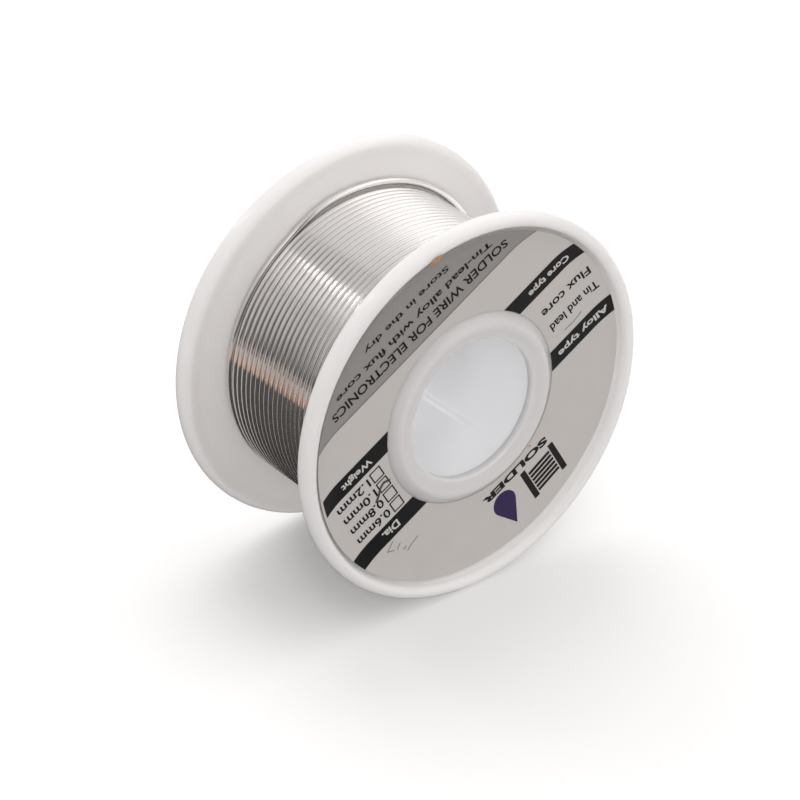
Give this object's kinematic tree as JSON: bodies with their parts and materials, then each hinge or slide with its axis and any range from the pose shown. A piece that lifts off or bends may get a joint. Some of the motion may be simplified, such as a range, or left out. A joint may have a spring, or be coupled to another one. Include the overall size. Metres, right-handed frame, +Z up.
{
  "type": "solder wire spool",
  "caption": "White plastic spool with two round beaded flanges, a central bore and a ring label, wound full of tin-lead solder wire.",
  "frame": {"origin": "on the bore's axis, halfway between the two flanges; the spool lies on its rims", "axes": "+Y along the bore from the labelled front flange to the rear flange, +Z up, +X to the right seen from the front"},
  "size_m": [0.0562, 0.03, 0.0562],
  "materials": {
    "flange_plastic": "glossy warm white moulded polystyrene, slightly translucent",
    "core_plastic": "smooth cool white moulded polystyrene",
    "label_paper": "satin coated paper with black print and a grey segment",
    "solder": "bright drawn tin-lead wire",
    "flux": "amber rosin"
  },
  "bodies": {
    "root": {"front_flange": "flange_plastic", "rear_flange": "flange_plastic", "core": "core_plastic", "front_label": "label_paper", "wire_start_tail": "solder", "wire_layer_1": "solder", "wire_layer_2": "solder", "wire_layer_3": "solder", "wire_layer_4": "solder", "wire_layer_5": "solder", "wire_layer_6": "solder", "wire_top_turn": "solder", "wire_free_end": "solder", "flux_core": "flux"}
  },
  "joints": []
}
